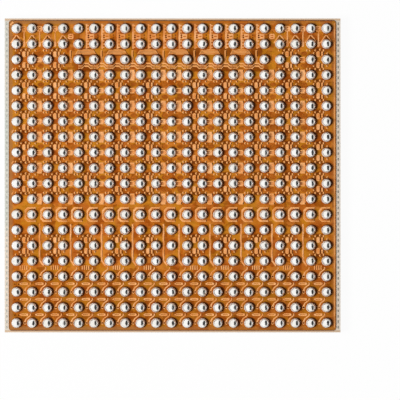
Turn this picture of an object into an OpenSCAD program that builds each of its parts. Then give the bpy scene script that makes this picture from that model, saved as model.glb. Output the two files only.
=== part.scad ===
// Wafer-level ball grid array chip, lying on its black back with the solder balls up.
// A silicon die carries two amber films with copper wiring in and on them. Every ball
// stands on a metal pad that reaches through the upper film to the wiring below.
// All lengths are in millimetres. X runs along the rows of balls, and row a lies at the
// +Y edge.

/* [Ball grid] */
// Side of a cell of the grid, from the middle of one ball to the middle of the next
cell_w = 0.4; // [0.39:0.01:0.5]
// Number of balls in each row
columns = 21; // [17:1:25]
// Widest diameter of a solder ball
ball_d = 0.26; // [0.24:0.01:0.28]
// Diameter of the metal pad that a ball is soldered to
pad_d = 0.22; // [0.18:0.01:0.23]
// Height of the pad's top above the upper film
pad_rise = 0.004; // [0.002:0.001:0.01]

/* [Die] */
// Thickness of the black coating on the back
coating_t = 0.04; // [0.02:0.005:0.1]
// Thickness of the silicon
silicon_t = 0.33; // [0.15:0.01:0.7]
// Thickness of the circuit layers grown on the silicon
circuit_t = 0.01; // [0.005:0.001:0.02]
// Width of the bare saw street on the side of the first column
street_first = 0.105; // [0.09:0.005:0.2]
// Width of the bare saw street on the side of the last column
street_last = 0.12; // [0.09:0.005:0.2]
// Width of the bare saw street along the outer rows
street_rows = 0.045; // [0.03:0.005:0.2]
// Length of a test mark in the saw street
mark_l = 0.07; // [0.04:0.01:0.1]
// Width of a test mark
mark_w = 0.03; // [0.02:0.005:0.04]
// Gap between one test mark and the next
mark_gap = 0.07; // [0.05:0.01:0.2]
// Thickness of the metal of the test marks
mark_t = 0.003; // [0.002:0.001:0.006]
// Outer diameter of the ring that marks the first ball's corner on the black back
ring_d = 0.3; // [0.2:0.02:0.4]
// Width of that ring's groove
ring_w = 0.04; // [0.02:0.01:0.06]
// Depth of that groove
ring_depth = 0.004; // [0.002:0.001:0.01]

/* [Films] */
// Thickness of the lower film
lower_film_t = 0.01; // [0.005:0.001:0.02]
// Thickness of the copper sheet and ball seats between the films
sheet_t = 0.008; // [0.005:0.001:0.02]
// Thickness of the upper film
upper_film_t = 0.01; // [0.005:0.001:0.02]
// Film from the middle of the first column to its edge
film_first = 0.2; // [0.19:0.005:0.3]
// Film from the middle of the last column to its edge
film_last = 0.25; // [0.19:0.005:0.35]
// Film from the middle of row a to its edge
film_row_a = 0.22; // [0.19:0.005:0.3]
// Film from the middle of the last row to its edge
film_row_y = 0.2; // [0.19:0.005:0.3]
// Radius of the films' corners
film_corner_r = 0.08; // [0.02:0.01:0.1]
// Gap between a pad and the film around it
film_gap = 0.006; // [0.004:0.001:0.01]

/* [Copper between the films] */
// Diameter of the copper seat under each pad
seat_d = 0.25; // [0.24:0.01:0.27]
// Diameter of the copper plug from the seat down to the die
plug_d = 0.09; // [0.05:0.01:0.15]
// Gap around a seat that isn't joined to the copper sheet
seat_gap = 0.02; // [0.01:0.005:0.03]

/* [Copper on the upper film] */
// Height of the copper lines above the upper film
relief_t = 0.006; // [0.004:0.001:0.012]
// Width of a thin line
line_w = 0.036; // [0.02:0.002:0.036]
// Width of a strap
strap_w = 0.05; // [0.03:0.005:0.06]
// Length of a large island
island_l = 0.15; // [0.1:0.01:0.16]
// Width of a large island
island_w = 0.1; // [0.06:0.01:0.11]
// Length of a slim island
slim_l = 0.11; // [0.08:0.01:0.12]
// Width of a slim island
slim_w = 0.06; // [0.03:0.005:0.065]
// Diameter of a small stud
stud_d = 0.058; // [0.03:0.002:0.06]
// Width of a plate between two balls
plate_w = 0.146; // [0.1:0.002:0.15]
// Length of a square plate
plate_l = 0.138; // [0.1:0.002:0.15]
// Length of a tall plate
tall_plate_l = 0.28; // [0.2:0.01:0.32]
// Size of the cut at a plate's corners
plate_cut = 0.02; // [0.01:0.005:0.03]
// Length of an almond-shaped window in the upper film
window_l = 0.17; // [0.12:0.01:0.2]
// Width of that window
window_w = 0.115; // [0.08:0.005:0.13]
// Diameter of a via opening through the upper film and the copper sheet
via_d = 0.034; // [0.02:0.002:0.036]
// Gap between a via opening and the copper round it
via_gap = 0.005; // [0.003:0.001:0.008]
// Width of the copper ring round a via
via_ring_w = 0.02; // [0.01:0.002:0.022]
// Length of the bright corner mark by the first ball of row a
corner_mark_l = 0.13; // [0.08:0.01:0.14]
// Width of the corner mark
corner_mark_w = 0.05; // [0.03:0.005:0.06]

/* [Hidden] */
// The letters i, o, q, s, x and z aren't used for rows of balls.
ROWS = ["a", "b", "c", "d", "e", "f", "g", "h", "j", "k", "l", "m", "n", "p", "r", "t", "u", "v", "w", "y"];
$fn = 48;

rows = len(ROWS);
// Columns at each end of a row whose wiring differs from the middle's
side_columns = 4;
// Rows where each kind of wiring begins, counted from 0 at row a
field_row = 1;
frame_row = 12;
strap_row = 13;
line_row = 15;
loop_row = 16;

film_w = film_first + (columns - 1) * cell_w + film_last;
film_l = film_row_a + (rows - 1) * cell_w + film_row_y;
body_w = street_first + film_w + street_last;
body_l = street_rows + film_l + street_rows;
film_left = street_first - body_w / 2;
film_back = body_l / 2 - street_rows;

silicon_z = coating_t;
circuit_z = silicon_z + silicon_t;
lower_film_z = circuit_z + circuit_t;
sheet_z = lower_film_z + lower_film_t;
upper_film_z = sheet_z + sheet_t;
relief_z = upper_film_z + upper_film_t;
ball_z = relief_z + pad_rise;
// Height of a ball's middle above the flat that is soldered to its pad
ball_rise = sqrt(pow(ball_d / 2, 2) - pow(pad_d / 2, 2));

// Middle of a ball, counted from 0 along the row and from row a
function ball_at(c, r) = [film_left + film_first + c * cell_w, film_back - film_row_a - r * cell_w];

// Outline of a band of width w along a list of points, with mitred corners
function unit(v) = v / norm(v);
function left_of(v) = [-v[1], v[0]];
function leg(pts, i) = unit(pts[i + 1] - pts[i]);
function leg_before(pts, i) = leg(pts, max(i - 1, 0));
function leg_after(pts, i) = leg(pts, min(i, len(pts) - 2));
function mitre(pts, i) =
    let (side = unit(left_of(leg_before(pts, i)) + left_of(leg_after(pts, i))))
    side / (side * left_of(leg_after(pts, i)));
function band(pts, w) = concat(
    [for (i = [0 : len(pts) - 1]) pts[i] + mitre(pts, i) * w / 2],
    [for (i = [len(pts) - 1 : -1 : 0]) pts[i] - mitre(pts, i) * w / 2]
);

// A gap is the space between ball c and ball c + 1, or between row r and row r + 1.
FIELD_GAPS = [field_row : frame_row - 2];
ISLAND_ROWS = concat([for (r = FIELD_GAPS) r], [strap_row, strap_row + 1]);
LOOP_ROWS = [loop_row : rows - 1];
SIDE_BALLS = [for (c = [0 : columns - 1]) if (c < side_columns || c >= columns - side_columns) c];
// Islands fill every other gap, counted from both ends of the row, and windows the rest.
ISLAND_GAPS = [for (c = [0 : columns - 2]) if (min(c, columns - 2 - c) % 2 == 0) c];
WINDOW_GAPS = [for (c = [0 : columns - 2]) if (min(c, columns - 2 - c) % 2 == 1) c];
SIDE_GAPS = [for (c = [0 : columns - 2]) if (is_side_gap(c)) c];
SIGNAL_GAPS = [side_columns : columns - side_columns - 2];
function is_side_gap(c) = c < side_columns - 1 || c >= columns - side_columns;
function in_field(c, r) = r > field_row + 1 || is_side_gap(c);

// Places in a gap, in cells from its middle. Y points to the row that the large islands
// and the windows are near to, which is every other row.
BIG_ISLAND = [0, 0.15];
SLIM_ISLAND = [0.26, 0.11];
STUDS = [[-0.29, 0.09], [0.575, 0.1], [-0.54, -0.1], [-0.195, -0.11], [0.11, -0.15], [0.345, -0.11]];
WINDOW_STUDS = [[-0.27, -0.1], [0.27, -0.1]];
ISLAND_VIA = [-0.035, -0.15];
WINDOW = [0.08, 0.105];
function towards(r) = r % 2 == 0 ? 1 : -1;

// Places round a ball, in cells from its middle
LOOP = [[-0.36, 0.07], [-0.03, 0.56], [0.06, 0.56], [0.34, 0.16]];
LOOP_VIA = [0.015, 0.44];
CHAIN = [[-0.46, 0.09], [-0.36, 0.27], [-0.16, 0.42], [-0.09, 0.49], [-0.09, 0.62]];
CHAIN_VIA = [-0.45, 0];
TICK = [[-0.3, 0.28], [-0.17, 0.48]];
LADDER_X = -0.475;
RUNGS = [-0.2, 0, 0.2];
TOP_LINE = [0, 0.42];
LADDER_VIAS = [[-0.35, -0.43], [-0.35, -0.57], [0.26, -0.41], [0.26, -0.59]];
LADDER_SLOT = [-0.15, 0];
COLUMN_VIAS = [[-0.1, -0.5], [0.14, -0.5]];

// Outline of a fan plate, place of a leg, course of a bent strap, and places of the
// bundled lines and of a long plate, in cells from the middle of a gap
FAN = [[-0.5, 0.16], [-0.72, -0.16], [0.72, -0.16], [0.5, 0.16]];
LEG = [0, 0.29];
BENT_STRAP = [[0, 1.88], [0, -0.46], [0.27, -0.82]];
BUNDLE = [for (x = [-0.24, -0.1, 0.04, 0.18]) [x, 0.07]];
LONG_PLATE = [-0.01, 0.03];
// Course of a signal line, and where its two tracks start, in cells from a ball
SIGNAL = [[0, -0.06], [0.25, -0.06], [0.4, 0.08], [0.65, 0.08], [0.8, -0.06], [0.99, -0.06]];
SIGNAL_STARTS = [[0, 0], [0, 0.17]];

// Lengths that follow from the cell's side
leg_l = 0.78 * cell_w;
ladder_l = 1.6 * cell_w;
rung_l = 0.1 * cell_w;
top_line_l = 0.84 * cell_w;
bundle_l = 0.28 * cell_w;
long_plate_w = 0.58 * cell_w;
long_plate_l = 0.16 * cell_w;
slot_w = line_w / 2;
// Diameter of the hole in the copper round a via
via_hole_d = via_d + 2 * via_gap;

module at_ball(c, r, p = [0, 0]) {
    translate(ball_at(c, r) + p * cell_w) children();
}

module at_gap(c, r, p = [0, 0]) {
    translate(ball_at(c + 0.5, r + 0.5) + [p[0], p[1] * towards(r)] * cell_w) children();
}

module every_ball() {
    for (r = [0 : rows - 1])
        for (c = [0 : columns - 1])
            at_ball(c, r) children();
}

module body_slab(z, t) {
    translate([-body_w / 2, -body_l / 2, z]) cube([body_w, body_l, t]);
}

module film_outline() {
    translate([film_left, film_back - film_l])
        offset(r = film_corner_r)
            offset(delta = -film_corner_r)
                square([film_w, film_l]);
}

module relief() {
    translate([0, 0, relief_z]) linear_extrude(relief_t) children();
}

module line(pts, w = line_w) {
    polygon(band(pts, w));
}

// Rectangle with its corners cut off
module plate(w, l, cut = plate_cut) {
    polygon([
        [w / 2, l / 2 - cut], [w / 2 - cut, l / 2], [cut - w / 2, l / 2], [-w / 2, l / 2 - cut],
        [-w / 2, cut - l / 2], [cut - w / 2, -l / 2], [w / 2 - cut, -l / 2], [w / 2, cut - l / 2]
    ]);
}

// Almond shape of two equal arcs, with its points on the X axis
module almond(l, w) {
    arc_r = (pow(l / 2, 2) + pow(w / 2, 2)) / w;
    intersection() {
        translate([0, w / 2 - arc_r]) circle(r = arc_r);
        translate([0, arc_r - w / 2]) circle(r = arc_r);
    }
}

// Island with straight sides and rounded ends
module island(w, l) {
    intersection() {
        circle(d = l);
        square([w, l], center = true);
    }
}

// ---- Die ----

module back_coating() {
    color("#262529") difference() {
        body_slab(0, coating_t);
        translate([-body_w / 2 + ring_d, body_l / 2 - ring_d, 0]) difference() {
            translate([0, 0, -ring_depth]) cylinder(d = ring_d, h = 2 * ring_depth);
            translate([0, 0, -2 * ring_depth]) cylinder(d = ring_d - 2 * ring_w, h = 4 * ring_depth);
        }
    }
}

module silicon_die() {
    color("#8d8f92") body_slab(silicon_z, silicon_t);
}

module circuit_layers() {
    color("#c3c6bd") body_slab(circuit_z, circuit_t);
}

module street_marks() {
    mark_step = mark_l + mark_gap;
    count = floor((body_l - mark_l) / mark_step);
    first_y = -(count - 1) * mark_step / 2;
    color("#9a9488") for (i = [0 : count - 1])
        for (x = [(street_first - body_w) / 2, (body_w - street_last) / 2])
            translate([x - mark_w / 2, first_y + i * mark_step - mark_l / 2, lower_film_z])
                cube([mark_w, mark_l, mark_t]);
}

// ---- Films and the copper between them ----

module lower_film() {
    color("#a8641e") translate([0, 0, lower_film_z]) linear_extrude(lower_film_t) difference() {
        film_outline();
        every_ball() circle(d = plug_d);
    }
}

// Every third seat is joined to the sheet all round, and a gap parts the others from it.
function sheet_hole_d(c, r) = (c + r) % 3 == 0 ? seat_d : seat_d + 2 * seat_gap;

module copper_sheet() {
    color("#c9743a") translate([0, 0, sheet_z]) linear_extrude(sheet_t) difference() {
        film_outline();
        for (r = [0 : rows - 1])
            for (c = [0 : columns - 1])
                at_ball(c, r) circle(d = sheet_hole_d(c, r));
        vias(via_d);
    }
}

module ball_seats() {
    color("#c9743a") every_ball() translate([0, 0, lower_film_z]) rotate_extrude() polygon([
        [0, 0], [plug_d / 2, 0], [plug_d / 2, lower_film_t], [seat_d / 2, lower_film_t],
        [seat_d / 2, lower_film_t + sheet_t], [0, lower_film_t + sheet_t]
    ]);
}

module upper_film() {
    color("#bd7426") translate([0, 0, upper_film_z]) linear_extrude(upper_film_t) difference() {
        film_outline();
        every_ball() circle(d = pad_d + 2 * film_gap);
        windows();
        vias(via_d);
    }
}

module windows() {
    for (r = FIELD_GAPS)
        for (c = WINDOW_GAPS)
            if (in_field(c, r))
                at_gap(c, r, WINDOW) almond(window_l, window_w);
}

module vias(d) {
    for (c = SIDE_BALLS)
        at_ball(c, field_row, LOOP_VIA) circle(d = d);
    for (c = [side_columns + 1 : columns - side_columns - 1])
        for (p = LADDER_VIAS)
            at_ball(c, 0, p) circle(d = d);
    for (r = ISLAND_ROWS)
        for (c = ISLAND_GAPS)
            if (in_field(c, r))
                at_gap(c, r, ISLAND_VIA) circle(d = d);
    for (r = LOOP_ROWS)
        for (c = [1 : columns - 1])
            at_ball(c, r, CHAIN_VIA) circle(d = d);
    for (r = [loop_row : rows - 2])
        for (p = COLUMN_VIAS)
            at_ball(0, r, p) circle(d = d);
}

module ball_pads() {
    color("#b8b4ae") every_ball() translate([0, 0, upper_film_z]) cylinder(d = pad_d, h = upper_film_t + pad_rise);
}

// ---- Copper on the upper film ----

module islands() {
    color("#e09a5c") relief() for (r = ISLAND_ROWS)
        for (c = ISLAND_GAPS)
            if (in_field(c, r)) {
                at_gap(c, r, BIG_ISLAND) island(island_w, island_l);
                at_gap(c, r, SLIM_ISLAND) island(slim_w, slim_l);
            }
}

module studs() {
    color("#e8a566") relief() {
        for (r = ISLAND_ROWS)
            for (c = ISLAND_GAPS)
                if (in_field(c, r))
                    for (p = STUDS)
                        at_gap(c, r, p) circle(d = stud_d);
        for (r = FIELD_GAPS)
            for (c = WINDOW_GAPS)
                if (in_field(c, r))
                    for (p = WINDOW_STUDS)
                        at_gap(c, r, p) circle(d = stud_d);
    }
}

module bridge_plates() {
    color("#d98e50") relief() for (r = [field_row + 1 : frame_row - 1])
        for (c = WINDOW_GAPS)
            if (in_field(c, r))
                at_ball(c + 0.5, r) plate(plate_w, towards(r) > 0 ? plate_l : tall_plate_l);
}

// Plate with two vias in row a, and a bar down to a plate in the next row
module link_straps() {
    color("#d98e50") relief() for (c = SIDE_GAPS)
        at_ball(c + 0.5, 0) {
            difference() {
                plate(plate_w, plate_l);
                for (y = [-plate_l / 4, plate_l / 4])
                    translate([0, y]) circle(d = via_d);
            }
            translate([0, -cell_w / 2]) square([line_w, cell_w - plate_l + plate_cut / 2], center = true);
            translate([0, -cell_w]) plate(plate_w / 2, plate_l);
        }
}

// Loops over the balls of the second row, ticks by the first column, and rings round the
// vias of the last rows with lines that run up to the next ball
module corner_loops() {
    color("#e3a06a") relief() {
        for (c = SIDE_BALLS)
            at_ball(c, field_row) line(LOOP * cell_w);
        for (r = [field_row + 2 : 2 : frame_row - 1])
            at_ball(0, r) line(TICK * cell_w);
        for (r = LOOP_ROWS)
            for (c = [1 : columns - 1])
                at_ball(c, r) difference() {
                    union() {
                        line(CHAIN * cell_w);
                        translate(CHAIN_VIA * cell_w) circle(d = via_hole_d + 2 * via_ring_w);
                    }
                    translate(CHAIN_VIA * cell_w) circle(d = via_hole_d);
                }
    }
}

// Strap with rungs beside each pair of balls of the first two rows, with a slotted plate
// between the two balls
module ladder_straps() {
    color("#dd9455") relief() {
        for (c = [side_columns + 1 : columns - side_columns - 1])
            difference() {
                union() {
                    at_ball(c, 0.5, [LADDER_X, 0]) square([strap_w, ladder_l], center = true);
                    at_ball(c, 0.5, [LADDER_X / 2, 0]) square([cell_w / 2, plate_l], center = true);
                    for (r = [0, 1])
                        for (y = RUNGS)
                            at_ball(c, r, [LADDER_X, y])
                                translate([0, -slot_w]) square([strap_w / 2 + rung_l, line_w]);
                }
                for (p = LADDER_VIAS)
                    at_ball(c, 0, p) circle(d = via_hole_d);
                at_ball(c, 0.5, LADDER_SLOT) square([plate_l / 2, slot_w], center = true);
            }
        for (c = [side_columns - 1, columns - side_columns - 1])
            at_gap(c, 0) difference() {
                plate(plate_w, plate_l);
                for (y = [-plate_l / 5, plate_l / 5])
                    translate([0, y]) square([plate_l / 2, slot_w], center = true);
            }
    }
}

// Plates that fan out below the second row, and the legs that run down between them
module fan_plates() {
    color("#d98e50") relief() {
        for (c = [side_columns : 2 : columns - side_columns - 2])
            at_gap(c, field_row) difference() {
                polygon(FAN * cell_w);
                square([cell_w, slot_w], center = true);
            }
        for (c = [side_columns - 1 : 2 : columns - side_columns - 2])
            at_gap(c, field_row, LEG) square([strap_w, leg_l], center = true);
    }
}

module signal_lines() {
    color("#d08a4c") relief() for (c = SIGNAL_GAPS)
        for (p = SIGNAL_STARTS)
            at_ball(c, field_row + 1.5, p) line(SIGNAL * cell_w);
}

// Brackets round the balls of one row, open towards the last column
module ball_frames() {
    side = cell_w - plate_cut;
    color("#d98e50") relief() for (c = [1 : columns - 1])
        at_ball(c, frame_row) difference() {
            plate(side, side, side / 5);
            plate(side - 2 * strap_w, side - 2 * strap_w, side / 6);
            translate([pad_d / 2, -side]) square(2 * side);
        }
}

// Bent straps beside the islands of the lower field, bundles of lines below the islands,
// and slotted plates between the last rows
module row_lines() {
    color("#d08a4c") relief() {
        for (c = WINDOW_GAPS)
            at_ball(c + 0.5, strap_row + 1.5) line(BENT_STRAP * cell_w, strap_w);
        for (c = ISLAND_GAPS)
            for (p = BUNDLE)
                at_ball(c + 0.5, line_row + 0.5, p) square([line_w, bundle_l], center = true);
        for (r = [loop_row : rows - 2])
            for (c = [0 : columns - 2])
                at_ball(c + 0.5, r + 0.5, LONG_PLATE) difference() {
                    plate(long_plate_w, long_plate_l);
                    square([long_plate_w / 2, slot_w], center = true);
                }
    }
}

// Line along the last column, and short lines along the middle of row a
module edge_line() {
    color("#c8813f") relief() {
        translate([film_left + film_w - 1.5 * line_w, film_back - film_l + film_corner_r])
            square([line_w, film_l - 2 * film_corner_r]);
        for (c = SIGNAL_GAPS)
            at_ball(c + 0.5, 0, TOP_LINE) square([top_line_l, line_w], center = true);
    }
}

module corner_mark() {
    color("#e7a36a") relief()
        translate([film_left + 0.65 * corner_mark_l, film_back - 0.65 * corner_mark_l]) rotate(45)
            square([corner_mark_l, corner_mark_w], center = true);
}

// ---- Solder balls ----

module ball_row(r) {
    color("#d9d9d6") translate([0, 0, ball_z]) difference() {
        for (c = [0 : columns - 1])
            at_ball(c, r) translate([0, 0, ball_rise]) sphere(d = ball_d);
        translate([-body_w / 2, ball_at(0, r)[1] - ball_d, -ball_d]) cube([body_w, 2 * ball_d, ball_d]);
    }
}

back_coating();
silicon_die();
circuit_layers();
street_marks();
lower_film();
copper_sheet();
ball_seats();
upper_film();
ball_pads();
islands();
studs();
bridge_plates();
link_straps();
corner_loops();
ladder_straps();
fan_plates();
signal_lines();
ball_frames();
row_lines();
edge_line();
corner_mark();
for (r = [0 : rows - 1])
    ball_row(r);
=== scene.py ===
"""Dresses a wafer-level ball grid array chip: solder balls, copper on amber film, die and stage."""

import math
import random

import bmesh
import bpy
from bpy.props import FloatProperty, FloatVectorProperty, IntProperty, PointerProperty
from mathutils import Matrix, Vector


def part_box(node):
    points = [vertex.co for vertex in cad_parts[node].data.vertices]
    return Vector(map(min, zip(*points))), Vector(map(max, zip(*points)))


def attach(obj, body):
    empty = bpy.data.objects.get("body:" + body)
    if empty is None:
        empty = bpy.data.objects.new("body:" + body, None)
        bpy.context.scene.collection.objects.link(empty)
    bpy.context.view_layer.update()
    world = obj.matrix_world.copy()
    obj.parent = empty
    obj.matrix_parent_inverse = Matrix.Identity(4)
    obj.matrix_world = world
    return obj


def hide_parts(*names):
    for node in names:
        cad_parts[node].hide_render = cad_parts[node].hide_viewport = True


bl_info = {
    "name": "Ball Grid Array Chip",
    "version": (1, 0, 0),
    "blender": (4, 5, 0),
    "location": "View3D > Sidebar > Chip",
    "description": "Solder balls, copper wiring and amber film for a wafer-level chip",
    "category": "Object",
}

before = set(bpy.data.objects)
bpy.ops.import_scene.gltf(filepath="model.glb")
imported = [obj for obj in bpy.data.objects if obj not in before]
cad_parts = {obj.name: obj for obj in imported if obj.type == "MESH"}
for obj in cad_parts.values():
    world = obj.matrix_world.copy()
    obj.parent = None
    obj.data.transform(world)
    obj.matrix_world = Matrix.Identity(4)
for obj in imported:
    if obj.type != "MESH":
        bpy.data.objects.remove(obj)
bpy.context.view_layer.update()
MM = 0.001
WELD = 0.0002 * MM  # Vertices of a CAD mesh that lie closer than this are one
LEVEL = 0.99  # Upright part of a normal, past which its face is level

BALL_ROWS = sorted(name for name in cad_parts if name.startswith("balls_row_"))
RIDGE_NODES = (
    "islands",
    "bridge_plates",
    "link_straps",
    "corner_loops",
    "ladder_straps",
    "fan_plates",
    "signal_lines",
    "ball_frames",
    "row_lines",
    "corner_mark",
)

# Plates whose thicker skin of film makes their tops darker
COVERED_NODES = ("fan_plates",)

# Share of the shoulder's width, small for pieces with thin walls round their holes
SHOULDERS = {
    "ladder_straps": 0.4,
    "link_straps": 0.5,
    "corner_loops": 0.6,
    "row_lines": 0.6,
    "islands": 1.2,
    "studs": 1.4,
    "bridge_plates": 1.4,
}


def linear(code):
    """Scene colour of a hex code such as #bd6b21."""
    parts = [int(code[i : i + 2], 16) / 255 for i in (1, 3, 5)]
    return tuple(c / 12.92 if c <= 0.04045 else ((c + 0.055) / 1.055) ** 2.4 for c in parts)


def rgba(colour):
    return (*colour, 1.0)


def in_mm(corners):
    return [corner / MM for corner in corners]


def grid():
    """Ball diameter, distance between balls, number of columns and the first ball's middle."""
    low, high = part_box(BALL_ROWS[0])
    next_low, next_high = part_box(BALL_ROWS[1])
    diameter = high.y - low.y
    pitch = (low.y + high.y - next_low.y - next_high.y) / 2
    columns = round((high.x - low.x - diameter) / pitch) + 1
    first = Vector((low.x + diameter / 2, (low.y + high.y) / 2))
    return diameter, pitch, columns, first


# ---- Shader nodes ----


class Wire:
    """Output of a shader node. An expression on it adds its Math nodes."""

    def __init__(self, nodes, socket):
        self.nodes = nodes
        self.socket = socket

    def math(self, operation, *values):
        return self.nodes.add("ShaderNodeMath", {"operation": operation}, dict(enumerate(values)))

    def __add__(self, other):
        return self.math("ADD", self, other)

    def __sub__(self, other):
        return self.math("SUBTRACT", self, other)

    def __rsub__(self, other):
        return self.math("SUBTRACT", other, self)

    def __mul__(self, other):
        return self.math("MULTIPLY", self, other)

    def __truediv__(self, other):
        return self.math("DIVIDE", self, other)

    def __pow__(self, other):
        return self.math("POWER", self, other)

    def __abs__(self):
        return self.math("ABSOLUTE", self)

    __radd__ = __add__
    __rmul__ = __mul__

    def at_most(self, other):
        return self.math("MINIMUM", self, other)

    def wrapped(self, size):
        """Distance from the nearest whole multiple of size, with its sign."""
        return self.math("WRAP", self, size / 2, -size / 2)

    def from_to(self, start, end):
        """start where this is 0 and end where it is 1."""
        return self * (end - start) + start

    def ramp(self, start, end):
        """0 up to start and 1 past end, with a smooth rise between. start may be the larger."""
        low, high = sorted((start, end))
        rise = self.nodes.add(
            "ShaderNodeMapRange",
            {"interpolation_type": "SMOOTHSTEP"},
            {"Value": self, "From Min": low, "From Max": high},
        )
        return 1 - rise if start > end else rise


class Nodes:
    """Node tree of a material or of the world."""

    def __init__(self, tree):
        self.tree = tree
        tree.nodes.clear()

    def add(self, kind, settings=None, inputs=None, out=0):
        """Adds a node with its settings, then its sockets' values or wires. Returns one output."""
        node = self.tree.nodes.new(kind)
        for name, value in (settings or {}).items():
            setattr(node, name, value)
        for name, value in (inputs or {}).items():
            if isinstance(value, Wire):
                self.tree.links.new(value.socket, node.inputs[name])
            else:
                node.inputs[name].default_value = value
        return Wire(self, node.outputs[out]) if node.outputs else None

    def place(self):
        """Position on the piece in millimetres."""
        metres = self.add("ShaderNodeTexCoord", out="Object")
        sockets = {0: metres, "Scale": 1 / MM}
        return self.add("ShaderNodeVectorMath", {"operation": "SCALE"}, sockets)

    def parts(self, vector):
        """The x, y and z of a vector."""
        split = self.add("ShaderNodeSeparateXYZ", None, {0: vector}).socket.node
        return [Wire(self, socket) for socket in split.outputs]

    def stretch(self, vector, factors):
        return self.add("ShaderNodeVectorMath", {"operation": "MULTIPLY"}, {0: vector, 1: factors})

    def noise(self, vector, scale, detail=2.0, roughness=0.5):
        """Noise about 0.5, with scale features in a millimetre."""
        sockets = {"Vector": vector, "Scale": scale, "Detail": detail, "Roughness": roughness}
        return self.add("ShaderNodeTexNoise", None, sockets)

    def blocks(self, vector, counts):
        """Random level of blocks with square corners, counts of them in a millimetre."""
        sockets = {"Vector": self.stretch(vector, counts), "Scale": 1.0}
        colour = self.add("ShaderNodeTexVoronoi", {"distance": "CHEBYCHEV"}, sockets, out=1)
        return self.parts(colour)[0]

    def attribute(self, name):
        return self.add("ShaderNodeAttribute", {"attribute_name": name}, out="Fac")

    def blend(self, factor, a, b):
        """Colour a where the factor is 0 and b where it is 1."""
        a, b = (colour if isinstance(colour, Wire) else rgba(colour) for colour in (a, b))
        settings = {"data_type": "RGBA", "clamp_factor": True}
        # A Mix node's sockets 6 and 7 and its output 2 are its colours
        return self.add("ShaderNodeMix", settings, {0: factor, 6: a, 7: b}, out=2)

    def bump(self, height, depth):
        """Normal of a surface whose height goes from 0 to depth millimetres."""
        return self.add("ShaderNodeBump", None, {"Height": height, "Distance": depth * MM})

    def surface(self, **sockets):
        """The Principled shader, with _ for the spaces in its sockets' names."""
        names = {name.replace("_", " "): value for name, value in sockets.items()}
        shader = self.add("ShaderNodeBsdfPrincipled", None, names)
        self.add("ShaderNodeOutputMaterial", None, {"Surface": shader})


def material(name, paint, settings):
    """Material whose nodes the function paint adds."""
    made = bpy.data.materials.new(name)
    made.use_nodes = True
    paint(Nodes(made.node_tree), settings)
    return made


def dress(node_names, made):
    """Gives CAD nodes a material."""
    for name in node_names:
        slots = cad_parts[name].data.materials
        slots.clear()
        slots.append(made)


# ---- Solder and copper ----

NOISE_RANGE = (0.3, 0.7)  # Levels that nearly all of a noise lies between
SOLDER_METALLIC = 0.97
FROST_FADE = 0.18  # Share of a ball's height over which its frost ends
COVERED_SHARE = 0.7  # How far the tops of covered plates take on the colour of their skin
BRIGHT_SIDE = (2.8, 3.2)  # Where the last side's bright line begins, in millimetres


def bright_solder(nodes, s):
    """Mirror-bright dented solder, frosted on a ball's lower flank."""
    place = nodes.place()
    dents = nodes.noise(place, s.dents, detail=3.0, roughness=0.55)
    haze = nodes.noise(place, 3.0)
    dull = nodes.attribute("dull") ** 3  # Cubed, so that few balls are dull
    low, high = in_mm(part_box(BALL_ROWS[0]))
    height = (nodes.parts(place)[2] - low.z) / (high.z - low.z)
    frost = height.ramp(s.frost_top, s.frost_top - FROST_FADE)
    nodes.surface(
        Base_Color=nodes.blend(haze.ramp(0.35, 0.7), s.colour, s.haze_colour),
        Metallic=SOLDER_METALLIC - frost * s.frost_share,
        Roughness=s.roughness + dull * s.dulling,
        Normal=nodes.bump(dents, s.dent_depth / MM),
    )


def copper_ridge(nodes, s):
    """Copper lines, matt and patchy on their tops and bright on their slopes."""
    place = nodes.place()
    slope = nodes.attribute("rim")
    covered = nodes.attribute("covered")
    patches = nodes.noise(place, 3.5, detail=3.0)
    grain = nodes.noise(place, 60.0)
    face = nodes.blend(patches.ramp(*NOISE_RANGE), s.ridge_colour, s.ridge_light)
    face = nodes.blend(covered * COVERED_SHARE, face, s.plate_colour)
    nodes.surface(
        Base_Color=nodes.blend(slope, face, s.rim_colour),
        Metallic=slope.from_to(s.metallic, 1),
        Roughness=slope.from_to(0.4, 0.1) + grain * 0.1,
        Specular_IOR_Level=0.2,
        Normal=nodes.bump(grain, 0.002),
    )


def edge_copper(nodes, s):
    """Copper of the edge line, bright on the last side only."""
    place = nodes.place()
    patches = nodes.noise(place, 5.0)
    last_side = nodes.parts(place)[0].ramp(*BRIGHT_SIDE)
    face = nodes.blend(last_side, s.sheet_colour, s.edge_colour)
    nodes.surface(
        Base_Color=nodes.blend(patches.ramp(0.45, 0.75) * 0.6, face, s.sheet_dark),
        Metallic=0.1,
        Roughness=patches.from_to(0.4, 0.6),
        Specular_IOR_Level=0.2,
        Normal=nodes.bump(patches, 0.001),
    )


def deep_copper(nodes, s):
    """Copper between the films."""
    place = nodes.place()
    patches = nodes.noise(place, 6.0, detail=3.0)
    grain = nodes.noise(place, 70.0)
    nodes.surface(
        Base_Color=nodes.blend(patches.ramp(*NOISE_RANGE), s.sheet_colour, s.sheet_dark),
        Metallic=0.45,
        Roughness=grain.from_to(0.38, 0.53),
        Specular_IOR_Level=0.2,
        Normal=nodes.bump(grain, 0.002),
    )


def pad_metal(nodes, s):
    grain = nodes.noise(nodes.place(), 45.0, detail=3.0)
    nodes.surface(
        Base_Color=nodes.blend(grain, s.pad_colour, s.pad_dark),
        Metallic=1.0,
        Roughness=grain.from_to(0.35, 0.55),
        Normal=nodes.bump(grain, 0.002),
    )


# ---- Films ----

# Reach of the painted shadow beside each ball
BALL_SHADOW_EDGE = (0.6, 0.47)  # In diameters of a ball, from its middle
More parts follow.
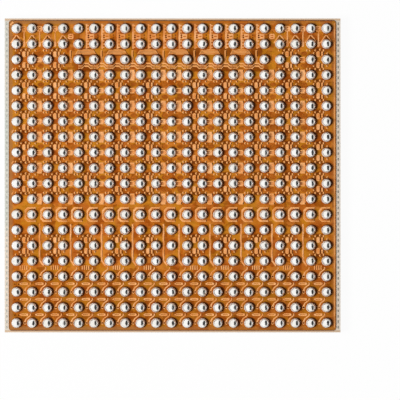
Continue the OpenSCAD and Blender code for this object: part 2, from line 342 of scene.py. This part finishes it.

# Below, LANE_STEP to ISLAND_ROWS_FADE place the painted shade among the islands
# In gaps between columns or rows
LANE_STEP = 2  # Every second gap holds a lane of islands
LANE_EDGE = (0.45, 0.3)  # From a lane's middle
GROUP_EDGE = (0.32, 0.22)  # From the middle of a group of islands, along its lane
ISLAND_ROWS = ((0.5, 10.6), (12.4, 14.6))  # From the middle of the first gap
ISLAND_ROWS_FADE = 0.1
LAST_ROWS = (15.2, 15.8)  # From the middle of the first gap to where the film darkens

# In millimetres
BORDER_EDGE = (0.14, 0.07)  # From the film's edge
# Reach of the painted shadow along the film's first side and ends
EDGE_SHADOW_REACH = (0.03, 0.01)  # From the film's edge
SIDE_TO_SIDE = (3, -3)  # From the middle


def shadow_beside_balls(x, y, shift):
    """Painted shadow: 1 on the film beside the balls, moved aside by shift metres, and 0 away from
    them.
    """
    diameter, pitch, _, first = grid()
    from_column = (x - first.x / MM - shift / MM).wrapped(pitch / MM)
    from_row = (y - first.y / MM - shift / MM / 2).wrapped(pitch / MM)
    from_ball = (from_column * from_column + from_row * from_row) ** 0.5
    return from_ball.ramp(*(diameter / MM * share for share in BALL_SHADOW_EDGE))


def gaps_counted(x, y):
    """Column and row of a place, with 0 in the middle of the first gap between the balls."""
    _, pitch, _, first = grid()
    column = (x - first.x / MM) / (pitch / MM) - 0.5
    row = (first.y / MM - y) / (pitch / MM) - 0.5
    return column, row


def shade_among_islands(column, row):
    """Painted shade: 1 on the film between the islands and 0 elsewhere."""
    _, _, columns, _ = grid()
    last_gap = columns - 2
    from_nearer_side = column.at_most(last_gap - column)
    lane = abs(from_nearer_side.wrapped(LANE_STEP)).ramp(*LANE_EDGE)
    group = abs(row.wrapped(1)).ramp(*GROUP_EDGE)
    fade = ISLAND_ROWS_FADE
    rows = [row.ramp(top, top + fade) * row.ramp(end, end - fade) for top, end in ISLAND_ROWS]
    return lane * group * sum(rows)


def amber_film(nodes, s):
    """Upper film, blotched as if by what lies under it, with painted shadow beside the balls and
    along its first side and ends, and painted shade among the islands.
    """
    place = nodes.place()
    x, y, _ = nodes.parts(place)
    column, row = gaps_counted(x, y)
    low, high = in_mm(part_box("upper_film"))
    from_first_side = x - low.x
    from_side = from_first_side.at_most(high.x - x)
    from_end = (y - low.y).at_most(high.y - y)
    border = from_side.at_most(from_end).ramp(*BORDER_EDGE)
    # Painted shadow along the film's first side and its ends
    rim = from_first_side.at_most(from_end).ramp(*EDGE_SHADOW_REACH)
    mottle = nodes.noise(place, 2.2, detail=4.0, roughness=0.6)
    warmth = nodes.noise(place, 3.1, detail=3.0)
    upright = nodes.blocks(place, (9.0, 4.0, 1.0))
    level = nodes.blocks(place, (4.5, 11.0, 1.0))
    grain = nodes.noise(place, 55.0)

    # Where each colour lies, how much of it shows there, and the colour
    layers = (
        (upright.ramp(0.45, 0.5), 0.55, s.deep_film_and_shade),
        (level.ramp(0.6, 0.65), 0.5, s.film_bright),
        (warmth.ramp(0.52, 0.6), 0.6, s.film_gold),
        (warmth.ramp(0.48, 0.4), 0.5, s.film_red),
        (row.ramp(*LAST_ROWS), 0.3, s.deep_film_and_shade),
        # Painted shade on the film between the islands
        (shade_among_islands(column, row), 0.8, s.deep_film_and_shade),
        (border, x.ramp(*SIDE_TO_SIDE).from_to(0.3, 0.8), s.film_border),
        # Painted shadow along the film's first side and ends
        (rim, 0.7, s.painted_shade),
        # Painted shadow beside each ball, moved to the side away from the lamp
        (shadow_beside_balls(x, y, s.ball_shadow_shift), 0.8, s.painted_shade),
    )
    colour = nodes.blend(mottle.ramp(*NOISE_RANGE), s.film_colour, s.film_light)
    for where, share, over in layers:
        colour = nodes.blend(where * share, colour, over)
    nodes.surface(
        Base_Color=colour,
        Roughness=grain.from_to(0.32, 0.52),
        Specular_IOR_Level=0.08,
        Normal=nodes.bump(mottle + grain * 0.3, 0.004),
    )


def shaded_lower_film(nodes, s):
    """Lower film, seen through the upper one's windows, coloured dark as painted shade in those
    windows.
    """
    grain = nodes.noise(nodes.place(), 20.0)
    nodes.surface(
        # Both colours are painted shade in the upper film's windows
        Base_Color=nodes.blend(grain.ramp(*NOISE_RANGE), s.painted_shade, s.deep_film_and_shade),
        Roughness=grain.from_to(0.4, 0.6),
        Specular_IOR_Level=0.15,
        Normal=nodes.bump(grain, 0.002),
    )


# ---- Die ----

# In millimetres
TILE = 0.09  # Length of a street's tile
TILE_JOINT = (0.03, 0.036)  # From a tile's middle
WARM_SIDE = (3.5, 4.2)  # From the middle of the die to where the last side's street warms
FIRST_TO_LAST_SIDE = (-1, 1)  # From the middle of the die
END_STREET = (0.07, 0.04)  # From the die's ends


def street_layers(nodes, s):
    """Circuit layers in the saw streets, in pale tiles, warmer on the last side and the ends."""
    place = nodes.place()
    x, y, _ = nodes.parts(place)
    tint = nodes.noise(nodes.stretch(place, (1.0, 0.4, 1.0)), 1.0)
    grain = nodes.noise(place, 50.0)
    joints = y.wrapped(TILE).ramp(*TILE_JOINT)
    speckle = grain.ramp(0.5, 0.8)
    low, high = in_mm(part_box("circuit_layers"))
    from_end = (y - low.y).at_most(high.y - y)
    warm = (tint.ramp(0.35, 0.65) + x.ramp(*WARM_SIDE)).at_most(1)
    colour = nodes.blend(warm, s.street_colour, s.street_warm)
    colour = nodes.blend(from_end.ramp(*END_STREET), colour, s.street_end)
    colour = nodes.blend(joints * 0.25 + speckle * 0.2, colour, s.street_dark)
    nodes.surface(
        Base_Color=colour,
        Roughness=grain.from_to(0.35, 0.55),
        Specular_IOR_Level=0.2,
        Normal=nodes.bump(grain, 0.002),
    )


def mark_metal(nodes, s):
    """Test marks, darker on the last side."""
    place = nodes.place()
    grain = nodes.noise(place, 60.0)
    last_side = nodes.parts(place)[0].ramp(*FIRST_TO_LAST_SIDE)
    pale = nodes.blend(grain, s.street_colour, s.mark_colour)
    nodes.surface(
        Base_Color=nodes.blend(last_side, pale, s.street_dark),
        Metallic=0.6,
        Roughness=0.4,
        Normal=nodes.bump(grain, 0.001),
    )


def sawn_silicon(nodes, s):
    """Silicon with the level lines of the saw and small chips."""
    place = nodes.place()
    cuts = nodes.noise(nodes.stretch(place, (2.0, 2.0, 90.0)), 1.0, detail=4.0, roughness=0.7)
    chips = nodes.noise(place, 30.0, detail=3.0)
    nodes.surface(
        Base_Color=nodes.blend(cuts.ramp(*NOISE_RANGE), s.silicon_colour, s.silicon_dark),
        Metallic=0.35,
        Roughness=cuts.from_to(0.3, 0.6),
        Normal=nodes.bump(cuts * 0.7 + chips * 0.3, 0.004),
    )


def black_coating(nodes, s):
    grain = nodes.noise(nodes.place(), 60.0, detail=3.0, roughness=0.6)
    nodes.surface(
        Base_Color=nodes.blend(grain.ramp(*NOISE_RANGE), s.coating_colour, s.coating_light),
        Roughness=grain.from_to(0.55, 0.75),
        Normal=nodes.bump(grain, 0.004),
    )


# ---- Pieces ----


def add_piece(name, bm, made, slot, *replaced):
    """Makes a mesh a piece of the chip, in the place of CAD nodes."""
    mesh = bpy.data.meshes.new(name)
    bm.to_mesh(mesh)
    bm.free()
    mesh.materials.append(made)
    piece = bpy.data.objects.new(name, mesh)
    bpy.context.scene.collection.objects.link(piece)
    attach(piece, "root")
    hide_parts(*replaced)


def welded_copy(node):
    """A CAD node's mesh with its loose triangles joined."""
    bm = bmesh.new()
    bm.from_mesh(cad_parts[node].data)
    bmesh.ops.remove_doubles(bm, verts=bm.verts[:], dist=WELD)
    return bm


def solder_row(node, s, made):
    """One row of balls, each a little out of round, standing on a flat."""
    diameter, pitch, columns, _ = grid()
    low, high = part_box(node)
    radius = diameter / 2
    draws = random.Random(node)
    bm = bmesh.new()
    dull = bm.faces.layers.float.new("dull")
    for column in range(columns):
        faces_before = len(bm.faces)
        middle = Vector((low.x + radius + column * pitch, (low.y + high.y) / 2, high.z - radius))
        size = radius * (1 - s.size_spread * draws.random())
        middle.z -= radius - size
        turn = Matrix.Rotation(draws.uniform(0, math.tau), 4, draws.choice("XYZ"))
        squash = Matrix.Diagonal((1, 1 - s.size_spread * draws.random(), 1, 1))
        bmesh.ops.create_icosphere(
            bm, subdivisions=2, radius=size, matrix=Matrix.Translation(middle) @ squash @ turn
        )
        dullness = draws.random()
        bm.faces.ensure_lookup_table()
        for face in bm.faces[faces_before:]:
            face[dull] = dullness
    bmesh.ops.bisect_plane(
        bm,
        geom=bm.verts[:] + bm.edges[:] + bm.faces[:],
        plane_co=(0, 0, low.z),
        plane_no=(0, 0, 1),
        clear_inner=True,
    )
    bmesh.ops.holes_fill(bm, edges=[e for e in bm.edges if e.is_boundary])
    for face in bm.faces:
        face.smooth = face.normal.z > -LEVEL
    add_piece(node.replace("balls", "solder"), bm, made, "solder", node)


def copper_piece(node, s, made):
    """Copper lines with sloping shoulders, from the CAD lines' own outline."""
    bm = welded_copy(node)
    rim = bm.faces.layers.float.new("rim")
    covered = bm.faces.layers.float.new("covered")
    tops = [f for f in bm.faces if f.normal.z > LEVEL]
    shoulder = s.shoulder * SHOULDERS.get(node, 1)
    bmesh.ops.inset_region(
        bm, faces=tops, thickness=shoulder, use_boundary=True, use_even_offset=True
    )
    bm.normal_update()
    inside = set(tops)
    inner = {v for f in tops for v in f.verts}
    shoulders = [f for f in bm.faces if f not in inside and f.normal.z > LEVEL]
    for face in bm.faces:
        face[rim] = float(face not in inside)
        face[covered] = float(face in inside and node in COVERED_NODES)
    low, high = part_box(node)
    for vert in {v for f in shoulders for v in f.verts} - inner:
        vert.co.z = low.z + (high.z - low.z) * s.shoulder_height
    add_piece(node + "_copper", bm, made, "copper_lines", node)


def separate_parts(bm):
    """The vertices of each part that no edge joins to the rest."""
    seen = set()
    for first in bm.verts:
        if first in seen:
            continue
        seen.add(first)
        part = [first]
        for vert in part:  # The part grows as it is walked
            for edge in vert.link_edges:
                other = edge.other_vert(vert)
                if other not in seen:
                    seen.add(other)
                    part.append(other)
        yield part


def stud_piece(node, s, made):
    """Round studs as flat-topped cones, one in the place of each of the CAD's."""
    source = welded_copy(node)
    low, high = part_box(node)
    bm = bmesh.new()
    rim = bm.faces.layers.float.new("rim")
    for part in separate_parts(source):
        left, right = min(v.co.x for v in part), max(v.co.x for v in part)
        front, back = min(v.co.y for v in part), max(v.co.y for v in part)
        middle = Vector((left + right, front + back, low.z + high.z)) / 2
        radius = (right - left) / 2
        bmesh.ops.create_cone(
            bm,
            cap_ends=True,
            segments=s.stud_sides,
            radius1=radius,
            radius2=radius - s.shoulder * SHOULDERS[node],
            depth=high.z - low.z,
            matrix=Matrix.Translation(middle),
        )
    source.free()
    bm.normal_update()
    for face in bm.faces:
        face[rim] = float(face.normal.z < LEVEL)
    add_piece(node + "_copper", bm, made, "copper_lines", node)


# ---- Stage ----

CARD_GLOW = 0.96  # Share of the card that shines by itself, while the rest shows shadows

# The tent's dark flag is an oval, placed by how far a face leans that mirrors it straight up
FLAG_MIDDLE = 0.355
FLAG_HALF_WIDTH = 0.25
FLAG_HALF_LENGTH = 0.55
FLAG_EDGE = (1.15, 0.9)  # In half sizes of the flag, from its middle
FLAG_DARKNESS = 0.97


def white_card(nodes, s):
    """White card that the camera sees bright, with its shadows."""
    card = nodes.add("ShaderNodeBsdfDiffuse", None, {"Color": rgba(s.card_colour)})
    glow = nodes.add("ShaderNodeEmission", None, {"Strength": 1.0})
    seen = nodes.add("ShaderNodeLightPath", out="Is Camera Ray")
    mixed = nodes.add("ShaderNodeMixShader", None, {0: seen * CARD_GLOW, 1: card, 2: glow})
    nodes.add("ShaderNodeOutputMaterial", None, {"Surface": mixed})


def add_floor(s):
    """Square floor of white card."""
    bm = bmesh.new()
    bmesh.ops.create_grid(bm, x_segments=1, y_segments=1, size=s.floor_size / 2)
    mesh = bpy.data.meshes.new("floor")
    bm.to_mesh(mesh)
    bm.free()
    mesh.materials.append(material("White card", white_card, s))
    floor = bpy.data.objects.new("floor", mesh)
    bpy.context.scene.collection.objects.link(floor)


def add_tent(s):
    """White light tent with a dark flag in its right side, which the balls and slopes mirror."""
    world = bpy.data.worlds.new("Light tent")
    world.use_nodes = True
    bpy.context.scene.world = world
    nodes = Nodes(world.node_tree)
    x, y, z = nodes.parts(nodes.add("ShaderNodeTexCoord", out="Generated"))
    # Over lift, x and y are those of the normal that mirrors this direction straight up
    lift = (z * 2 + 2) ** 0.5
    across = (x / lift - FLAG_MIDDLE) / FLAG_HALF_WIDTH
    along = (y / lift) / FLAG_HALF_LENGTH
    flag = (across * across + along * along).ramp(*FLAG_EDGE)
    seen = nodes.add("ShaderNodeLightPath", out="Is Camera Ray")
    mirrored = nodes.add("ShaderNodeLightPath", out="Is Glossy Ray")
    through = nodes.add("ShaderNodeLightPath", out="Is Transmission Ray")
    level = (mirrored + through + seen).at_most(1).from_to(s.tent_level, 1)
    strength = level * (1 - flag * (1 - seen) * FLAG_DARKNESS)
    sky = nodes.add("ShaderNodeBackground", None, {"Color": (1, 1, 1, 1), "Strength": strength})
    nodes.add("ShaderNodeOutputWorld", None, {"Surface": sky})


def add_lamp(s):
    """Lamp that nothing mirrors. Its power lights a level white card to lamp_level."""
    lamp = bpy.data.lights.new("lamp", "AREA")
    lamp.size = s.lamp_size
    lamp.energy = s.lamp_level * (math.pi * s.lamp_distance) ** 2 / math.sin(s.lamp_height)
    holder = bpy.data.objects.new("lamp", lamp)
    bpy.context.scene.collection.objects.link(holder)
    aside = Vector((-math.cos(s.lamp_turn), -math.sin(s.lamp_turn), 0))
    up = Vector((0, 0, math.sin(s.lamp_height)))
    holder.location = (aside * math.cos(s.lamp_height) + up) * s.lamp_distance
    holder.rotation_euler = holder.location.to_track_quat("Z", "Y").to_euler()
    holder.visible_camera = False
    holder.visible_glossy = False


def add_camera(s):
    """Camera straight over its aim, high enough to see the view's width at the film."""
    data = bpy.data.cameras.new("camera")
    data.lens = s.lens
    data.clip_start = 1 * MM
    data.clip_end = 10
    camera = bpy.data.objects.new("camera", data)
    bpy.context.scene.collection.objects.link(camera)
    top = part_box("upper_film")[1].z
    camera.location = (s.aim[0], s.aim[1], top + s.view_width * s.lens / data.sensor_width)
    bpy.context.scene.camera = camera


# ---- Settings ----


class SolderSettings(bpy.types.PropertyGroup):
    """Sizes and finish of the solder balls."""

    colour: FloatVectorProperty(
        name="Colour", description="Bright solder", subtype="COLOR", default=linear("#fbfaf7")
    )
    haze_colour: FloatVectorProperty(
        name="Haze",
        description="Duller patches of the solder",
        subtype="COLOR",
        default=linear("#f4f0e8"),
    )
    roughness: FloatProperty(
        name="Roughness",
        description="Dullness of the solder",
        subtype="FACTOR",
        default=0.07,
        min=0,
        max=1,
    )
    dulling: FloatProperty(
        name="Dulling",
        description="Roughness added on the dullest ball",
        subtype="FACTOR",
        default=0.2,
        min=0,
        max=1,
    )
    frost_top: FloatProperty(
        name="Frost top",
        description="Height of the frosted flank on a ball",
        subtype="FACTOR",
        default=0.78,
        min=0,
        max=1,
    )
    frost_share: FloatProperty(
        name="Frost",
        description="How matt the flank is",
        subtype="FACTOR",
        default=0.8,
        min=0,
        max=SOLDER_METALLIC,
    )
    dents: FloatProperty(name="Dents", description="Dents in a millimetre", default=13.0, min=1)
    dent_depth: FloatProperty(
        name="Dent depth",
        description="Depth of a dent",
        subtype="DISTANCE",
        unit="LENGTH",
        default=0.009 * MM,
    )
    size_spread: FloatProperty(
        name="Size spread",
        description="Share by which balls differ",
        subtype="FACTOR",
        default=0.03,
        min=0,
        max=0.1,
    )


class CopperSettings(bpy.types.PropertyGroup):
    """Shape and finish of the copper."""

    shoulder: FloatProperty(
        name="Shoulder",
        description="Width of a line's sloping side",
        subtype="DISTANCE",
        unit="LENGTH",
        default=0.014 * MM,
    )
    shoulder_height: FloatProperty(
        name="Shoulder height",
        description="Height where the slope starts",
        subtype="FACTOR",
        default=0.15,
        min=0,
        max=1,
    )
    stud_sides: IntProperty(
        name="Stud sides", description="Sides of a round stud", default=16, min=6, max=64
    )
    metallic: FloatProperty(
        name="Metallic",
        description="Metal shine of the lines' tops",
        subtype="FACTOR",
        default=0.15,
        min=0,
        max=1,
    )
    ridge_colour: FloatVectorProperty(
        name="Lines", description="Copper lines", subtype="COLOR", default=linear("#e58d42")
    )
    ridge_light: FloatVectorProperty(
        name="Light lines",
        description="Lighter patches of the lines",
        subtype="COLOR",
        default=linear("#ffbd80"),
    )
    plate_colour: FloatVectorProperty(
        name="Covered plates",
        description="Tops of plates under a thicker skin of film",
        subtype="COLOR",
        default=linear("#cc7a2a"),
    )
    rim_colour: FloatVectorProperty(
        name="Rim colour",
        description="Slopes of the lines",
        subtype="COLOR",
        default=linear("#f4ae6a"),
    )
    edge_colour: FloatVectorProperty(
        name="Edge line",
        description="Line along the last column",
        subtype="COLOR",
        default=linear("#eda15c"),
    )
    sheet_colour: FloatVectorProperty(
        name="Sheet",
        description="Copper under the film",
        subtype="COLOR",
        default=linear("#c26a1a"),
    )
    sheet_dark: FloatVectorProperty(
        name="Dark sheet",
        description="Darker patches of the sheet",
        subtype="COLOR",
        default=linear("#a3540f"),
    )
    pad_colour: FloatVectorProperty(
        name="Pads", description="Metal under the balls", subtype="COLOR", default=linear("#b8b4ae")
    )
    pad_dark: FloatVectorProperty(
        name="Dark pads",
        description="Duller patches of the pads",
        subtype="COLOR",
        default=linear("#8c877e"),
    )


class FilmSettings(bpy.types.PropertyGroup):
    """Finish of the two films."""

    film_colour: FloatVectorProperty(
        name="Amber", description="Plain film", subtype="COLOR", default=linear("#b8640f")
    )
    film_light: FloatVectorProperty(
        name="Light amber",
        description="Lighter patches",
        subtype="COLOR",
        default=linear("#cc7c24"),
    )
    # Deep amber of the film's darker veins, also painted shade among the islands and in the lower
    # film
    deep_film_and_shade: FloatVectorProperty(
        name="Deep amber", description="Darker veins", subtype="COLOR", default=linear("#7a3602")
    )
    film_bright: FloatVectorProperty(
        name="Bright amber",
        description="Film over wide copper",
        subtype="COLOR",
        default=linear("#d98535"),
    )
    film_gold: FloatVectorProperty(
        name="Gold amber",
        description="Yellower patches",
        subtype="COLOR",
        default=linear("#c8841c"),
    )
    film_red: FloatVectorProperty(
        name="Red amber", description="Redder patches", subtype="COLOR", default=linear("#a84a10")
    )
    # Colour of the painted shadow beside the balls and along the film's edge, and of the painted
    # shade in the lower film
    painted_shade: FloatVectorProperty(
        name="Painted shade", description="Film beside a ball", subtype="COLOR", default=linear("#4a1f04")
    )
    film_border: FloatVectorProperty(
        name="Border",
        description="Film along its edges",
        subtype="COLOR",
        default=linear("#a9713f"),
    )
    # Shift of each ball's painted shadow, towards the side away from the lamp
    ball_shadow_shift: FloatProperty(
        name="Halo shift",
        description="From a ball to its halo",
        subtype="DISTANCE",
        unit="LENGTH",
        default=0.03 * MM,
    )


class DieSettings(bpy.types.PropertyGroup):
    """Finish of the die and its saw streets."""

    street_colour: FloatVectorProperty(
        name="Street",
        description="Bare layers along the edge",
        subtype="COLOR",
        default=linear("#ccd4cd"),
    )
    street_end: FloatVectorProperty(
        name="End street",
        description="Streets along the outer rows",
        subtype="COLOR",
        default=linear("#dcc0a2"),
    )
    street_warm: FloatVectorProperty(
        name="Warm street", description="Warmer patches", subtype="COLOR", default=linear("#e8dac9")
    )
    street_dark: FloatVectorProperty(
        name="Dark street",
        description="Joints of the tiles, and the last side's marks",
        subtype="COLOR",
        default=linear("#8f8a80"),
    )
    mark_colour: FloatVectorProperty(
        name="Test marks",
        description="Metal test marks",
        subtype="COLOR",
        default=linear("#a79e90"),
    )
    silicon_colour: FloatVectorProperty(
        name="Silicon", description="Sawn side", subtype="COLOR", default=linear("#8b8e93")
    )
    silicon_dark: FloatVectorProperty(
        name="Dark silicon", description="Saw lines", subtype="COLOR", default=linear("#5c5f66")
    )
    coating_colour: FloatVectorProperty(
        name="Coating", description="Black back", subtype="COLOR", default=linear("#242327")
    )
    coating_light: FloatVectorProperty(
        name="Coating grain",
        description="Grain of the back",
        subtype="COLOR",
        default=linear("#34343a"),
    )


class StageSettings(bpy.types.PropertyGroup):
    """Floor, light and camera."""

    floor_size: FloatProperty(
        name="Floor",
        description="Side of the floor",
        subtype="DISTANCE",
        unit="LENGTH",
        default=1.0,
    )
    tent_level: FloatProperty(
        name="Tent", description="Light of the tent on matt surfaces", default=0.32, min=0, max=1
    )
    lamp_level: FloatProperty(
        name="Lamp",
        description="Light of the lamp on a level white card",
        default=0.71,
        min=0,
        max=2,
    )
    lamp_turn: FloatProperty(
        name="Lamp turn",
        description="Angle of the lamp from the left side",
        subtype="ANGLE",
        default=math.radians(12),
    )
    lamp_height: FloatProperty(
        name="Lamp height",
        description="Angle of the lamp over the floor",
        subtype="ANGLE",
        default=math.radians(58),
    )
    lamp_distance: FloatProperty(
        name="Lamp distance",
        description="From the chip",
        subtype="DISTANCE",
        unit="LENGTH",
        default=0.06,
    )
    lamp_size: FloatProperty(
        name="Lamp size",
        description="Side of the lamp",
        subtype="DISTANCE",
        unit="LENGTH",
        default=0.02,
    )
    lens: FloatProperty(
        name="Lens", description="Focal length", subtype="DISTANCE_CAMERA", default=300.0
    )
    view_width: FloatProperty(
        name="View",
        description="Width that the camera sees",
        subtype="DISTANCE",
        unit="LENGTH",
        default=10.332 * MM,
    )
    aim: FloatVectorProperty(
        name="Aim",
        description="Point under the camera",
        subtype="XYZ",
        unit="LENGTH",
        size=2,
        default=(0.708 * MM, -0.635 * MM),
    )
    card_colour: FloatVectorProperty(
        name="Floor colour", description="White card", subtype="COLOR", default=linear("#f4f4f4")
    )

# ---- Operators ----


class CHIP_OT_solder_balls(bpy.types.Operator):
    """Makes the rows of solder balls"""

    bl_idname = "chip.solder_balls"
    bl_label = "Solder Balls"

    def execute(self, context):
        s = context.scene.chip_solder
        made = material("Solder", bright_solder, s)
        for node in BALL_ROWS:
            solder_row(node, s, made)
        return {"FINISHED"}


class CHIP_OT_copper_lines(bpy.types.Operator):
    """Makes the copper lines on the upper film"""

    bl_idname = "chip.copper_lines"
    bl_label = "Copper Lines"

    def execute(self, context):
        s = context.scene.chip_copper
        made = material("Copper lines", copper_ridge, s)
        for node in RIDGE_NODES:
            copper_piece(node, s, made)
        stud_piece("studs", s, made)
        dress(("edge_line",), material("Edge copper", edge_copper, s))
        return {"FINISHED"}


class CHIP_OT_inner_copper(bpy.types.Operator):
    """Finishes the copper between the films and the pads"""

    bl_idname = "chip.inner_copper"
    bl_label = "Inner Copper"

    def execute(self, context):
        s = context.scene.chip_copper
        dress(("copper_sheet", "ball_seats"), material("Deep copper", deep_copper, s))
        dress(("ball_pads",), material("Pad metal", pad_metal, s))
        return {"FINISHED"}


class CHIP_OT_films(bpy.types.Operator):
    """Finishes the two amber films"""

    bl_idname = "chip.films"
    bl_label = "Films"

    def execute(self, context):
        s = context.scene.chip_film
        dress(("upper_film",), material("Amber film", amber_film, s))
        dress(("lower_film",), material("Lower film in painted shade", shaded_lower_film, s))
        return {"FINISHED"}


class CHIP_OT_die(bpy.types.Operator):
    """Finishes the die, its saw streets and its black back"""

    bl_idname = "chip.die"
    bl_label = "Die"

    def execute(self, context):
        s = context.scene.chip_die
        dress(("circuit_layers",), material("Street layers", street_layers, s))
        dress(("street_marks",), material("Mark metal", mark_metal, s))
        dress(("silicon_die",), material("Sawn silicon", sawn_silicon, s))
        dress(("back_coating",), material("Black coating", black_coating, s))
        return {"FINISHED"}


class CHIP_OT_stage(bpy.types.Operator):
    """Adds the floor, the light and the camera"""

    bl_idname = "chip.stage"
    bl_label = "Stage"

    def execute(self, context):
        s = context.scene.chip_stage
        add_floor(s)
        add_tent(s)
        add_lamp(s)
        add_camera(s)
        context.scene.view_settings.view_transform = "Standard"
        return {"FINISHED"}


# ---- Panel ----


class CHIP_PT_chip(bpy.types.Panel):
    """Lists the chip's settings and steps."""

    bl_idname = "CHIP_PT_chip"
    bl_label = "Chip"
    bl_space_type = "VIEW_3D"
    bl_region_type = "UI"
    bl_category = "Chip"

    def draw(self, context):
        for group, operators in STEPS:
            box = self.layout.box()
            settings = getattr(context.scene, group)
            for name in settings.__annotations__:
                box.prop(settings, name)
            for operator in operators:
                box.operator(operator)


STEPS = (
    ("chip_stage", ("chip.stage",)),
    ("chip_die", ("chip.die",)),
    ("chip_film", ("chip.films",)),
    ("chip_copper", ("chip.inner_copper", "chip.copper_lines")),
    ("chip_solder", ("chip.solder_balls",)),
)
SETTINGS = {
    "chip_stage": StageSettings,
    "chip_die": DieSettings,
    "chip_film": FilmSettings,
    "chip_copper": CopperSettings,
    "chip_solder": SolderSettings,
}
CLASSES = (
    *SETTINGS.values(),
    CHIP_OT_stage,
    CHIP_OT_die,
    CHIP_OT_films,
    CHIP_OT_inner_copper,
    CHIP_OT_copper_lines,
    CHIP_OT_solder_balls,
    CHIP_PT_chip,
)


def register():
    for cls in CLASSES:
        bpy.utils.register_class(cls)
    for name, group in SETTINGS.items():
        setattr(bpy.types.Scene, name, PointerProperty(type=group))


def unregister():
    for name in SETTINGS:
        delattr(bpy.types.Scene, name)
    for cls in reversed(CLASSES):
        bpy.utils.unregister_class(cls)


def main():
    register()
    bpy.ops.chip.stage()
    bpy.ops.chip.die()
    bpy.ops.chip.films()
    bpy.ops.chip.inner_copper()
    bpy.ops.chip.copper_lines()
    bpy.ops.chip.solder_balls()


if __name__ == "__main__":
    main()
